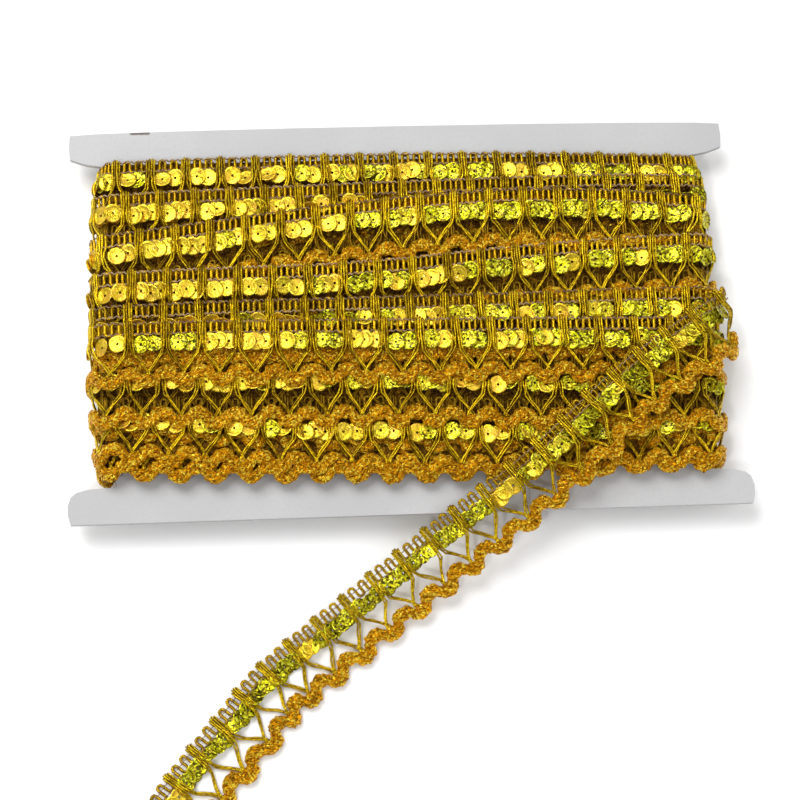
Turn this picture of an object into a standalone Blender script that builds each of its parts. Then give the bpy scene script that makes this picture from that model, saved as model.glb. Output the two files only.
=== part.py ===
"""Sequin trim wound on a flat card, with its loose end drawn across the front and down to the table.

The card lies level, its long side along X and its upper edge towards +Y. The origin is on the
table under the middle of the card. Every size is in millimetres and is turned into metres once,
when a mesh is made.
"""

import math
from collections import namedtuple

import bmesh
import bpy
import numpy as np

MM = 0.001

# The card: stiff white board, cut to an H whose waist carries the winding.
CARD_LENGTH = 200.0
CARD_HEIGHT = 120.0
CARD_THICKNESS = 2.0
CARD_MIDDLE_Z = 9.0
CARD_TOP_CROWN = 1.2
WAIST_HALF = 87.2
UPPER_SHOULDER_Y = 49.3
LOWER_SHOULDER_Y = -49.2
CORNER_OUT = CARD_LENGTH / 2 - WAIST_HALF

# The two flanges' worn ends, from the upper edge down: (out from the waist's side, height).
UPPER_END = (
    (CORNER_OUT + 0.3, 56.2),
    (CORNER_OUT, 52.4),
    (8.0, UPPER_SHOULDER_Y + 1.4),
    (0.0, UPPER_SHOULDER_Y),
)
LOWER_END = (
    (0.0, LOWER_SHOULDER_Y),
    (8.0, LOWER_SHOULDER_Y - 0.4),
    (11.6, -50.5),
    (CORNER_OUT + 0.4, -51.8),
    (CORNER_OUT + 1.3, -54.4),
    (CORNER_OUT + 1.2, -57.4),
    (CORNER_OUT + 0.5, -CARD_HEIGHT / 2),
)

# The trim: one repeat runs from bundle to bundle.
REPEAT = 10.45
HALF_REPEAT = REPEAT / 2
TRIM_WIDTH = 20.0
BUNDLE_HALF = 1.1

# The winding: rounded ends, a little thinner and narrower towards the card's two long edges. Its
# underside is fuller by BACK_FULLER and pressed flat where it rests on the table. FOOT_ABOVE and
# FOOT_RISE place the small step that each turn's upper edge makes on the last.
FRONT_HALF = 86.0
END_REACH = 6.3
END_RELIEF = 0.7
PACK_HALF_THICKNESS = 5.4
BACK_FULLER = 1.6
PACK_EDGE_Y = 52.0
PACK_EDGE_LOSS = 2.9
PACK_END_LOSS = 3.0
SLOT_GAP = 0.35
FRONT_COLUMNS = 33
END_COLUMNS = 5
END_STEP = math.pi / (END_COLUMNS + 1)
STEP_DOWN = 0.35
FOOT_ABOVE = 0.3
FOOT_RISE = 0.6
SHOULDER_CLEARANCE = 0.6

# The trim's cross-section, from its upper edge down. across is measured from the upper edge and
# rise from the cloth's own underside, both on a bundle of cords and between two bundles.
Line = namedtuple("Line", "across_on across_between rise_on rise_between")
SECTION = (
    Line(across_on=-0.5, across_between=0.2, rise_on=1.5, rise_between=1.1),
    Line(across_on=3.9, across_between=3.9, rise_on=1.9, rise_between=1.2),
    Line(across_on=6.8, across_between=6.8, rise_on=2.6, rise_between=2.2),
    Line(across_on=9.5, across_between=9.5, rise_on=1.8, rise_between=1.1),
    Line(across_on=12.6, across_between=14.2, rise_on=0.9, rise_between=0.5),
    Line(across_on=14.6, across_between=18.0, rise_on=2.6, rise_between=2.6),
    Line(across_on=16.4, across_between=20.0, rise_on=0.9, rise_between=0.9),
)
HEADER_EDGE, HEADER_FOOT, SEQUINS, SEQUIN_EDGE, LEGS, BRAID, BRAID_EDGE = range(7)

# The turns that show on the front, from the upper edge of the card down. upper_edge is the
# height of the turn's upper edge at each of ROW_X, bundle_x the place of one bundle, first and
# last the section lines that show, and lift the cloth that lies under its two edges.
ROW_X = (-90.0, -60.0, -30.0, 0.0, 30.0, 60.0, 90.0)
Row = namedtuple("Row", "upper_edge bundle_x first last lift_upper lift_lower")
ROWS = (
    Row((47.9, 50.0, 50.8, 51.0, 50.4, 49.2, 47.4), -2.0, HEADER_EDGE, SEQUIN_EDGE, 0.2, 0.0),
    Row((39.0, 40.0, 40.7, 41.5, 42.0, 42.3, 41.7), 0.0, HEADER_EDGE, SEQUIN_EDGE, 1.4, 0.0),
    Row((26.0, 29.5, 33.5, 36.3, 38.2, 37.5, 34.8), 5.0, HEADER_EDGE, SEQUIN_EDGE, 1.5, 0.0),
    Row((14.3, 15.2, 15.4, 16.8, 19.6, 21.4, 22.6), 1.8, HEADER_EDGE, SEQUIN_EDGE, 1.5, 0.0),
    Row((4.2, 4.8, 4.9, 5.0, 5.2, 5.6, 5.6), 0.5, HEADER_EDGE, SEQUIN_EDGE, 1.4, 0.6),
    Row((-1.2, -1.1, -1.6, -2.2, -2.6, -3.3, -4.0), 3.0, HEADER_EDGE, BRAID_EDGE, 1.6, 1.5),
    Row((-12.3, -13.5, -14.0, -15.0, -16.8, -18.0, -18.5), 1.0, SEQUIN_EDGE, BRAID_EDGE, 0.0, 1.2),
    Row((-21.0, -24.6, -27.5, -29.4, -30.5, -30.7, -29.0), -2.5, SEQUINS, BRAID_EDGE, 0.0, 1.0),
    Row((-28.2, -29.0, -29.4, -30.4, -30.6, -30.4, -30.4), -1.6, LEGS, BRAID_EDGE, 0.0, 0.0),
)

# The loose end: its upper edge seen from above, in millimetres along X and Y. X above FRONT_HALF
# is measured round the winding's end. The last point is past the cut.
LOOSE_ROUTE = (
    (116.0, 19.0),
    (90.0, 2.0),
    (62.0, -17.0),
    (40.0, -36.0),
    (20.0, -51.6),
    (1.0, -64.8),
    (-22.8, -82.2),
    (-46.8, -100.4),
    (-60.7, -115.7),
    (-74.3, -131.4),
    (-88.0, -149.0),
)
LOOSE_REPEAT = 10.35
LOOSE_BUNDLE_AT = (1.0, -64.8)
LOOSE_REPEATS_ABOVE = 13
LOOSE_REPEATS_BELOW = 11
LOOSE_STRETCH_ACROSS = 1.05
LOOSE_START_ROUND = 98.5
LOOSE_END_REACH = 11.2

# The height of the loose end's underside over the table, by Y: over the winding, down past the
# card's lower edge, then flat on the table.
DRAPE = (
    (60.0, 19.1),
    (-34.0, 19.1),
    (-43.0, 18.6),
    (-50.0, 16.9),
    (-56.0, 14.6),
    (-63.0, 11.4),
    (-72.0, 7.6),
    (-82.0, 3.9),
    (-91.0, 1.5),
    (-100.0, 0.3),
    (-108.0, 0.0),
    (-260.0, 0.0),
)

WHITE_CARD = (0.66, 0.66, 0.67)
GOLD_TRIM = (0.55, 0.33, 0.03)


def clear_scene():
    for thing in list(bpy.data.objects):
        bpy.data.objects.remove(thing, do_unlink=True)


def principled(name, colour, roughness, metallic):
    material = bpy.data.materials.new(name)
    material.use_nodes = True
    shader = material.node_tree.nodes["Principled BSDF"]
    shader.inputs["Base Color"].default_value = (*colour, 1.0)
    shader.inputs["Roughness"].default_value = roughness
    shader.inputs["Metallic"].default_value = metallic
    return material


def finish_object(name, mesh, material):
    """Turns a bmesh in millimetres into an object in metres, with its faces pointing out."""
    bmesh.ops.recalc_face_normals(mesh, faces=mesh.faces)
    bmesh.ops.scale(mesh, vec=(MM, MM, MM), verts=mesh.verts)
    data = bpy.data.meshes.new(name)
    mesh.to_mesh(data)
    mesh.free()
    data.materials.append(material)
    thing = bpy.data.objects.new(name, data)
    bpy.context.scene.collection.objects.link(thing)
    return thing


# The card

def card_outline():
    """The card's outline: its crowned upper edge, down the left end, and up the right one."""
    half_l = CARD_LENGTH / 2
    half_h = CARD_HEIGHT / 2
    points = []
    for turn in np.linspace(0.0, math.pi, 9):
        points.append((half_l * math.cos(turn), half_h + CARD_TOP_CROWN * math.sin(turn)))
    ends = UPPER_END + LOWER_END
    points += [(-WAIST_HALF - out, y) for out, y in ends]
    points += [(WAIST_HALF + out, y) for out, y in reversed(ends)]
    return points


def build_card(material):
    mesh = bmesh.new()
    low = CARD_MIDDLE_Z - CARD_THICKNESS / 2
    face = mesh.faces.new([mesh.verts.new((x, y, low)) for x, y in card_outline()])
    grown = bmesh.ops.extrude_face_region(mesh, geom=[face])
    lifted = [part for part in grown["geom"] if isinstance(part, bmesh.types.BMVert)]
    bmesh.ops.translate(mesh, vec=(0, 0, CARD_THICKNESS), verts=lifted)
    bmesh.ops.triangulate(mesh, faces=mesh.faces)
    return finish_object("card", mesh, material)


# The winding

def pack_half_thickness(y):
    """Half the winding's thickness without the trim's own relief."""
    return PACK_HALF_THICKNESS - PACK_EDGE_LOSS * min(1.0, abs(y) / PACK_EDGE_Y) ** 5


def pack_end_reach(y):
    """How far the winding's rounded end stands out past FRONT_HALF."""
    return END_REACH - PACK_END_LOSS * min(1.0, abs(y) / PACK_EDGE_Y) ** 3


def column_place(column, bundle_x):
    """Where a column of the winding stands: (side, x, angle round the end).

    Columns run along the front from left to right, round the right end, back along the
    underside and round the left end. Even ones carry a bundle.
    """
    middle = FRONT_COLUMNS // 2
    if column < FRONT_COLUMNS:
        step = column - middle
        fade = min(1.0, (middle - abs(step)) / 2)
        return "front", step * HALF_REPEAT + bundle_x * fade, 0.0
    column -= FRONT_COLUMNS
    if column < END_COLUMNS:
        return "right", 1.0, (column + 1) * END_STEP
    column -= END_COLUMNS
    if column < FRONT_COLUMNS:
        return "back", (middle - column) * HALF_REPEAT, math.pi
    column -= FRONT_COLUMNS
    return "left", -1.0, math.pi - (column + 1) * END_STEP


def columns():
    return range(2 * (FRONT_COLUMNS + END_COLUMNS))


def upper_edge_at(row, side, x):
    """The height of a turn's upper edge. On the underside it runs straight from end to end."""
    if side == "front":
        return float(np.interp(x, ROW_X, row.upper_edge))
    if side == "back":
        return float(np.interp(x, (ROW_X[0], ROW_X[-1]), (row.upper_edge[0], row.upper_edge[-1])))
    return row.upper_edge[-1] if side == "right" else row.upper_edge[0]


def shift_and_parity(bundle_x):
    """A bundle's place as a small shift of the columns, and whether odd columns carry bundles."""
    steps = round(bundle_x / HALF_REPEAT)
    return bundle_x - steps * HALF_REPEAT, steps % 2


def ring_wishes(row, line, extra_y, rise_scale, lift):
    """One ring round the winding as (height on the card, rise) for each column."""
    shift, odd = shift_and_parity(row.bundle_x)
    wishes = []
    for column in columns():
        side, x, _ = column_place(column, shift)
        on_bundle = (column + FRONT_COLUMNS // 2) % 2 == odd
        across = line.across_on if on_bundle else line.across_between
        rise = line.rise_on if on_bundle else line.rise_between
        wishes.append((upper_edge_at(row, side, x) - across + extra_y, rise * rise_scale + lift))
    return wishes


def all_wishes():
    """The wishes of every ring from the card's upper edge down, each with its columns' shift."""
    rings = []
    for row in ROWS:
        shift = shift_and_parity(row.bundle_x)[0]
        if row.first == HEADER_EDGE:
            foot_rise = FOOT_RISE if rings else 0.0
            edge = SECTION[HEADER_EDGE]
            rings.append((shift, ring_wishes(row, edge, FOOT_ABOVE, 0.0, foot_rise)))
        for index in range(row.first, row.last + 1):
            line = SECTION[index]
            share = line.across_between / TRIM_WIDTH
            lift = row.lift_upper * max(0.0, 1.0 - 2.0 * share) + row.lift_lower * share
            rings.append((shift, ring_wishes(row, line, 0.0, 1.0, lift)))
    return rings


def ordered_heights(rings):
    """Keeps each ring at least STEP_DOWN below the one above, and the ends off the card."""
    heights = np.array([[y for y, _ in wishes] for _, wishes in rings])
    ends = [column_place(column, 0.0)[0] in ("left", "right") for column in columns()]
    heights[0, ends] = np.minimum(heights[0, ends], UPPER_SHOULDER_Y - SHOULDER_CLEARANCE)
    for upper, lower in zip(heights, heights[1:]):
        lower[:] = np.minimum(lower, upper - STEP_DOWN)
    lowest = LOWER_SHOULDER_Y + SHOULDER_CLEARANCE
    heights[-1, ends] = np.maximum(heights[-1, ends], lowest)
    for ring in range(len(heights) - 2, -1, -1):
        heights[ring, ends] = np.maximum(heights[ring, ends], heights[ring + 1, ends] + STEP_DOWN)
    return heights


def winding_rings():
    """All rings of the winding as points, from the card's upper edge down."""
    wished = all_wishes()
    rings = []
    for (shift, wishes), heights in zip(wished, ordered_heights(wished)):
        ring = []
        for column, (_, rise) in zip(columns(), wishes):
            side, x, angle = column_place(column, shift)
            y = float(heights[column])
            if side in ("left", "right"):
                reach = pack_end_reach(y) + rise * END_RELIEF
                x = x * (FRONT_HALF + reach * math.sin(angle))
            fuller = BACK_FULLER * (1.0 - math.cos(angle)) / 2
            half = pack_half_thickness(y) + rise + fuller
            ring.append((x, y, max(0.0, CARD_MIDDLE_Z + half * math.cos(angle))))
        rings.append(ring)
    return rings


def slot_ring(outer, bundle_x):
    """The ring of the slot that the card's waist fills, level with an outer ring."""
    half_x = WAIST_HALF + SLOT_GAP
    half_z = CARD_THICKNESS / 2 + SLOT_GAP
    ring = []
    for column, point in zip(columns(), outer):
        side, x, angle = column_place(column, shift_and_parity(bundle_x)[0])
        if side in ("left", "right"):
            x *= half_x
        ring.append((x, point[1], CARD_MIDDLE_Z + half_z * math.cos(angle)))
    return ring


def bridge(mesh, first, second):
    """Quads between two closed rings of the same number of points."""
    count = len(first)
    for i in range(count):
        j = (i + 1) % count
        mesh.faces.new((first[i], first[j], second[j], second[i]))


def build_winding(material):
    mesh = bmesh.new()
    outer = winding_rings()
    slot = [slot_ring(outer[-1], ROWS[-1].bundle_x), slot_ring(outer[0], ROWS[0].bundle_x)]
    rings = [[mesh.verts.new(point) for point in ring] for ring in outer + slot]
    for i, ring in enumerate(rings):
        bridge(mesh, ring, rings[(i + 1) % len(rings)])
    bmesh.ops.triangulate(mesh, faces=mesh.faces)
    return finish_object("wound_trim", mesh, material)


# The loose end

def smooth_route(points, steps=16):
    """Points on a smooth curve through the given ones."""
    points = np.array(points)
    ends = np.concatenate([[2 * points[0] - points[1]], points, [2 * points[-1] - points[-2]]])
    curve = []
    for i in range(1, len(ends) - 2):
        a, b, c, d = ends[i - 1 : i + 3]
        for t in np.arange(steps) / steps:
            curve.append(
                0.5 * (2 * b + (c - a) * t + (2 * a - 5 * b + 4 * c - d) * t**2
                       + (3 * b - a - 3 * c + d) * t**3)
            )
    curve.append(points[-1])
    return np.array(curve)


def lengths_along(curve):
    steps = np.linalg.norm(np.diff(curve, axis=0), axis=1)
    return np.concatenate([[0.0], np.cumsum(steps)])


def smooth_profile(points, spacing=1.0):
    """A curve through points of falling Y, whose height never swings past theirs."""
    y, z = np.array(points).T
    slope = np.diff(z) / np.diff(y)
    product = slope[:-1] * slope[1:]
    total = slope[:-1] + slope[1:]
    inner = np.where(product > 0, 2 * product / np.where(total == 0, 1, total), 0.0)
    bend = np.concatenate([[0.0], inner, [0.0]])
    curve = []
    for i in range(len(y) - 1):
        run = y[i + 1] - y[i]
        for t in np.linspace(0, 1, max(2, int(abs(run) / spacing)), endpoint=False):
            height = (
                z[i] * (1 + 2 * t) * (1 - t) ** 2 + bend[i] * run * t * (1 - t) ** 2
                + z[i + 1] * t**2 * (3 - 2 * t) + bend[i + 1] * run * t**2 * (t - 1)
            )
            curve.append((y[i] + t * run, height))
    curve.append((y[-1], z[-1]))
    return np.array(curve)


class Drape:
    """The surface that the loose end lies on, unrolled: place(p, t, h) puts a point back.

    p runs along X and on round the winding's right end, t along the drape's profile with
    falling Y, and h stands off the surface.
    """

    def __init__(self):
        self.profile = smooth_profile(DRAPE)
        self.length = lengths_along(self.profile)

    def unrolled(self, x, y):
        return x, float(np.interp(-y, -self.profile[:, 0], self.length))

    def place(self, p, t, h):
        y, z = (float(np.interp(t, self.length, self.profile[:, k])) for k in (0, 1))
        before, after = (
            np.array([np.interp(t + d, self.length, self.profile[:, k]) for k in (0, 1)])
            for d in (-1.0, 1.0)
        )
        dy, dz = (after - before) / np.linalg.norm(after - before)
        if p <= FRONT_HALF:
            return p, y + h * dz, z - h * dy
        height = z - CARD_MIDDLE_Z
        angle = (p - FRONT_HALF) * 2 / (LOOSE_END_REACH + height)
        x = FRONT_HALF + (LOOSE_END_REACH + h) * math.sin(angle)
        return x, y, CARD_MIDDLE_Z + (height + h) * math.cos(angle)


# One repeat of the trim in plan: (along from the bundle, across from the upper edge, thickness).
LEG_FOOT = 3.2
PLAN = {
    "edge_on": (BUNDLE_HALF, -0.6, 1.4),
    "edge_between": (HALF_REPEAT, 0.3, 1.0),
    "header_on": (BUNDLE_HALF, 3.9, 1.9),
    "header_between": (HALF_REPEAT, 3.9, 1.2),
    "sequin_on": (BUNDLE_HALF, 6.8, 2.3),
    "sequin_between": (HALF_REPEAT, 6.8, 2.1),
    "lower_on": (BUNDLE_HALF, 9.4, 1.7),
    "lower_between": (HALF_REPEAT, 9.4, 1.1),
    "fork": (0.0, 9.9, 1.6),
    "legs_meet": (HALF_REPEAT, 14.2, 1.2),
    "leg_foot": (LEG_FOOT, 15.2, 1.3),
    "inner_0": (0.0, 13.1, 1.0),
    "inner_1": (1.7, 13.7, 1.0),
    "inner_3": (HALF_REPEAT, 16.4, 1.3),
    "ridge_0": (0.0, 14.6, 2.5),
    "ridge_1": (1.9, 15.5, 2.5),
    "ridge_2": (3.3, 17.2, 2.5),
    "ridge_3": (HALF_REPEAT, 18.2, 2.5),
    "outer_0": (0.0, 16.0, 0.9),
    "outer_1": (1.6, 17.1, 0.9),
    "outer_2": (2.9, 19.2, 0.9),
    "outer_3": (HALF_REPEAT, 20.0, 0.9),
}
HALF_FACES = (
    ("edge_on", "edge_between", "header_between", "header_on"),
    ("header_on", "header_between", "sequin_between", "sequin_on"),
    ("sequin_on", "sequin_between", "lower_between", "lower_on"),
    ("lower_on", "legs_meet", "leg_foot", "fork"),
    ("legs_meet", "inner_3", "leg_foot"),
    ("inner_0", "inner_1", "ridge_1", "ridge_0"),
    ("inner_1", "leg_foot", "ridge_2", "ridge_1"),
    ("leg_foot", "inner_3", "ridge_3", "ridge_2"),
    ("ridge_0", "ridge_1", "outer_1", "outer_0"),
    ("ridge_1", "ridge_2", "outer_2", "outer_1"),
    ("ridge_2", "ridge_3", "outer_3", "outer_2"),
)
BUNDLE_LADDER = ("edge_on", "header_on", "sequin_on", "lower_on")


def plan_of_repeat(mesh, centre, scale, lay):
    """Adds one repeat to the flat plan. lay(along, across) gives a point's place in the plan."""

    def corner(name, side):
        along, across, thickness = PLAN[name]
        p, t = lay(centre + side * along * scale, across)
        return mesh.verts.new((p, t, thickness))

    for side in (-1, 1):
        for names in HALF_FACES:
            mesh.faces.new([corner(name, side) for name in names])
    for upper, lower in zip(BUNDLE_LADDER, BUNDLE_LADDER[1:]):
        mesh.faces.new([corner(upper, -1), corner(upper, 1), corner(lower, 1), corner(lower, -1)])
    mesh.faces.new([corner("lower_on", -1), corner("lower_on", 1), corner("fork", 1)])


def keep_largest_island(mesh):
    """Deletes every loose scrap that a slanting cut leaves beside the main piece."""
    left = set(mesh.verts)
    islands = []
    while left:
        todo = [left.pop()]
        island = set(todo)
        while todo:
            for edge in todo.pop().link_edges:
                for other in edge.verts:
                    if other in left:
                        left.discard(other)
                        island.add(other)
                        todo.append(other)
        islands.append(island)
    largest = max(islands, key=len)
    scraps = [vert for island in islands if island is not largest for vert in island]
    bmesh.ops.delete(mesh, geom=scraps, context="VERTS")


def thicken_and_bend(mesh, drape):
    """Gives the plan its flat underside and its rim, and lays it on the drape."""
    rims = [edge for edge in mesh.edges if len(edge.link_faces) == 1]
    upper = list(mesh.verts)
    faces = [list(face.verts) for face in mesh.faces]
    below = {vert: mesh.verts.new((vert.co.x, vert.co.y, 0.0)) for vert in upper}
    for corners in faces:
        mesh.faces.new([below[vert] for vert in reversed(corners)])
    for edge in rims:
        a, b = edge.verts
        mesh.faces.new((a, b, below[b], below[a]))
    for vert in mesh.verts:
        vert.co = drape.place(*vert.co)


def build_loose_end(material):
    drape = Drape()
    route = np.array([drape.unrolled(*point) for point in smooth_route(LOOSE_ROUTE)])
    length = lengths_along(route)
    bundle = np.array(drape.unrolled(*LOOSE_BUNDLE_AT))
    bundle_at = length[int(np.argmin(np.linalg.norm(route - bundle, axis=1)))]

    def lay(along, across):
        here, ahead = (
            np.array([np.interp(along + d, length, route[:, k]) for k in (0, 1)])
            for d in (-1.0, 1.0)
        )
        forward = (ahead - here) / np.linalg.norm(ahead - here)
        middle = (here + ahead) / 2
        across *= LOOSE_STRETCH_ACROSS
        return middle[0] + forward[1] * across, middle[1] - forward[0] * across

    mesh = bmesh.new()
    for repeat in range(-LOOSE_REPEATS_ABOVE, LOOSE_REPEATS_BELOW + 1):
        plan_of_repeat(mesh, bundle_at + repeat * LOOSE_REPEAT, LOOSE_REPEAT / REPEAT, lay)
    bmesh.ops.remove_doubles(mesh, verts=mesh.verts, dist=0.001)
    everything = list(mesh.verts) + list(mesh.edges) + list(mesh.faces)
    bmesh.ops.bisect_plane(
        mesh, geom=everything, dist=0.01, plane_co=(LOOSE_START_ROUND, 0, 0),
        plane_no=(1, 0, 0), clear_outer=True,
    )
    keep_largest_island(mesh)
    thicken_and_bend(mesh, drape)
    bmesh.ops.triangulate(mesh, faces=mesh.faces)
    return finish_object("loose_end", mesh, material)


clear_scene()
white_card = principled("white_card", WHITE_CARD, 0.7, 0.0)
gold_trim = principled("gold_trim", GOLD_TRIM, 0.4, 0.6)
build_card(white_card)
build_winding(gold_trim)
build_loose_end(gold_trim)
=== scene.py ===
"""Looks of a sequin trim wound on a white card, built in the part's frame.

Lengths are worked out in millimetres and turned into metres when a mesh is made.
"""

import math
from collections import namedtuple

import bpy
import numpy as np
from mathutils import Matrix, Vector


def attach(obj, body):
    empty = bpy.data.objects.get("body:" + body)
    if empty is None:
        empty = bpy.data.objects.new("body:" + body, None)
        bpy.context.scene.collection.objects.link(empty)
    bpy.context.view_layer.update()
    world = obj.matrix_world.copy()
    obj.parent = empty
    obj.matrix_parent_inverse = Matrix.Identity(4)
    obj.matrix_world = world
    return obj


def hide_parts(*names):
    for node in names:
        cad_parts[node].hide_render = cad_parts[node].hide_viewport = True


MM = 0.001

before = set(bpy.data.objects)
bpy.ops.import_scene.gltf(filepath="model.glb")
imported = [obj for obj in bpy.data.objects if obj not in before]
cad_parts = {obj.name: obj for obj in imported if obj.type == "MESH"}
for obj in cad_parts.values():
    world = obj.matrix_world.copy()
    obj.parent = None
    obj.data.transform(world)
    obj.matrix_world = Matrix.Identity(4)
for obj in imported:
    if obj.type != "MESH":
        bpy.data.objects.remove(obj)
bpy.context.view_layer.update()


class Value:
    """A shader socket. Arithmetic on it adds Math nodes to its tree."""

    def __init__(self, tree, socket):
        self.tree = tree
        self.socket = socket

    def node(self, kind, inputs=None, output=0, **settings):
        """Any other node, with its inputs given by name or number."""
        made = self.tree.nodes.new(kind)
        for name, setting in settings.items():
            setattr(made, name, setting)
        for name, given in (inputs or {}).items():
            if isinstance(given, Value):
                self.tree.links.new(given.socket, made.inputs[name])
            else:
                made.inputs[name].default_value = given
        return Value(self.tree, made.outputs[output])

    def math(self, operation, *others):
        numbered = dict(enumerate((self, *others)))
        return self.node("ShaderNodeMath", numbered, operation=operation)

    def __add__(self, other):
        return self.math("ADD", other)

    def __sub__(self, other):
        return self.math("SUBTRACT", other)

    def __mul__(self, other):
        return self.math("MULTIPLY", other)

    def __truediv__(self, other):
        return self.math("DIVIDE", other)

    __radd__ = __add__
    __rmul__ = __mul__

    def __rsub__(self, other):
        return (self * -1.0).math("ADD", other)

    def between(self, low, high):
        """0 below low, 1 above high, smooth in between."""
        inputs = {"Value": self, "From Min": low, "From Max": high}
        return self.node("ShaderNodeMapRange", inputs, interpolation_type="SMOOTHSTEP")

    def mix(self, first, second):
        """From one colour to another as this value goes from 0 to 1."""
        inputs = {0: self, 6: first, 7: second}
        return self.node("ShaderNodeMix", inputs, output=2, data_type="RGBA")


def new_look(name, **fixed):
    """A material: its shader, its Object coordinates and its attribute reader."""
    material = bpy.data.materials.new(name)
    material.use_nodes = True
    tree = material.node_tree
    shader = tree.nodes["Principled BSDF"]
    for socket, setting in fixed.items():
        shader.inputs[socket.replace("_", " ").title()].default_value = setting
    place = Value(tree, tree.nodes.new("ShaderNodeTexCoord").outputs["Object"])
    return material, shader, place


def feed(shader, **values):
    """Links values to the shader's inputs, named in lower case with underscores."""
    for socket, value in values.items():
        value.tree.links.new(value.socket, shader.inputs[socket.replace("_", " ").title()])


def colour(red, green, blue):
    return (red, green, blue, 1.0)


def attribute(place, name, output="Fac"):
    """A number stored on the piece's mesh, or a vector where output says so."""
    outputs = {"Vector": 1, "Fac": 2}
    return place.node("ShaderNodeAttribute", output=outputs[output], attribute_name=name)


# The card. Stiff white paperboard, die-cut to an H, matt and a little uneven, with grey cut edges
# and one small brown chip on its upper edge. The winding holds it by the waist.

CHIP_X = -0.0788
CHIP_LOWER_Y = 0.0600


def card_look():
    material, shader, place = new_look("card_look", roughness=0.62)
    fibre = place.node("ShaderNodeTexNoise", {"Vector": place, "Scale": 900.0, "Detail": 4.0})
    cloud = place.node("ShaderNodeTexNoise", {"Vector": place, "Scale": 28.0, "Detail": 3.0})
    paper = cloud.between(0.3, 0.7).mix(colour(0.43, 0.43, 0.435), colour(0.47, 0.47, 0.474))
    paper = (fibre.between(0.45, 0.75) * 0.25).mix(paper, colour(0.37, 0.37, 0.374))
    x = place.node("ShaderNodeSeparateXYZ", {"Vector": place}, output=0)
    y = Value(place.tree, x.socket.node.outputs[1])
    ragged = fibre * 0.0006
    along = ((x - CHIP_X).math("ABSOLUTE") + ragged).between(0.0036, 0.0030)
    chip = along * (y + ragged).between(CHIP_LOWER_Y, CHIP_LOWER_Y + 0.0005)
    feed(shader, base_color=chip.mix(paper, colour(0.13, 0.105, 0.09)))
    bump = {"Height": fibre, "Strength": 0.12, "Distance": 0.0002}
    feed(shader, normal=place.node("ShaderNodeBump", bump))
    return material


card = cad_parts["card"]
card.data.materials.clear()
card.data.materials.append(card_look())


# How the trim lies round the card. Each turn is a ribbon whose upper edge runs across the front at
# its own slant, round the two rounded ends and straight across the underside. A place on it is
# given in repeats along the turn, millimetres down from its upper edge, and height off the pack.

FRONT_HALF = 86.0
END_ARC = 20.0
TURN_HALF = 2 * FRONT_HALF + END_ARC
CARD_MIDDLE_Z = 9.0
TRIM_WIDTH = 20.0
TURN_X = (-90.0, -60.0, -30.0, 0.0, 30.0, 60.0, 90.0)

# A turn's row holds: its upper edge's Y at each TURN_X, the X of one bundle, the length of a
# repeat, how far its upper and lower edges stand off, the place across from which its yarns are
# built, where it goes under its neighbour and how deep it is pressed there, and its sequins' line.
Turn = namedtuple(
    "Turn", "upper_edge bundle_x pitch lift_upper lift_lower shown_from cover press sequins_at"
)
THIRD_TURN_COVER = (0.0, 0.0, 1.2, 2.0, 2.0, 2.0, 2.0)
TURNS = (
    Turn((50.2, 50.9, 51.3, 51.5, 51.0, 50.0, 48.6), -2.0, 10.5, 0.2, 0.0, 0.0, 0.3, 1.3, 6.8),
    Turn((39.0, 40.0, 40.7, 41.5, 42.0, 42.3, 41.7), 0.0, 10.4, 1.4, 0.0, 0.0, 0.3, 3.2, 6.8),
    Turn(
        (26.0, 29.5, 33.5, 36.3, 38.2, 37.5, 34.8), 5.0, 10.5, 1.5, 0.0, 0.0, THIRD_TURN_COVER, 3.2, 6.8
    ),
    Turn((14.3, 15.2, 15.4, 16.8, 19.6, 21.4, 22.6), 1.8, 10.4, 1.5, 0.0, 0.0, 0.8, 1.3, 6.8),
    Turn((4.2, 4.8, 4.9, 5.0, 5.2, 5.6, 5.6), 0.5, 10.4, 1.4, 0.6, 0.0, 0.3, 1.3, 6.8),
    Turn((-1.2, -1.1, -1.6, -2.2, -2.6, -3.3, -4.0), 3.0, 10.7, 1.6, 1.5, 0.0, 0.0, 0.0, 6.8),
    Turn((-12.8, -13.8, -14.2, -15.0, -16.6, -17.8, -18.3), 1.0, 10.6, 0.0, 1.2, 5.0, 18.0, 1.3, 6.2),
    Turn((-23.2, -25.8, -28.0, -29.5, -30.4, -30.6, -29.0), -2.5, 10.6, 0.0, 1.0, 5.0, 18.0, 1.3, 7.2),
    Turn((-27.8, -29.1, -30.2, -31.1, -31.1, -30.6, -30.2), -1.6, 10.3, 0.0, 0.0, 9.0, 18.0, 1.3, 7.2),
)


END_UPPER_Y, END_LOWER_Y = 48.2, -47.7
PAST_END_Y = 4.2
PACK_HALF_HEIGHT = 52.0
HALF_THICK, THINNER_AT_EDGE, FULLER_BELOW = 5.4, 2.9, 1.6
END_REACH, SHORTER_AT_EDGE = 6.8, 3.0


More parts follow.
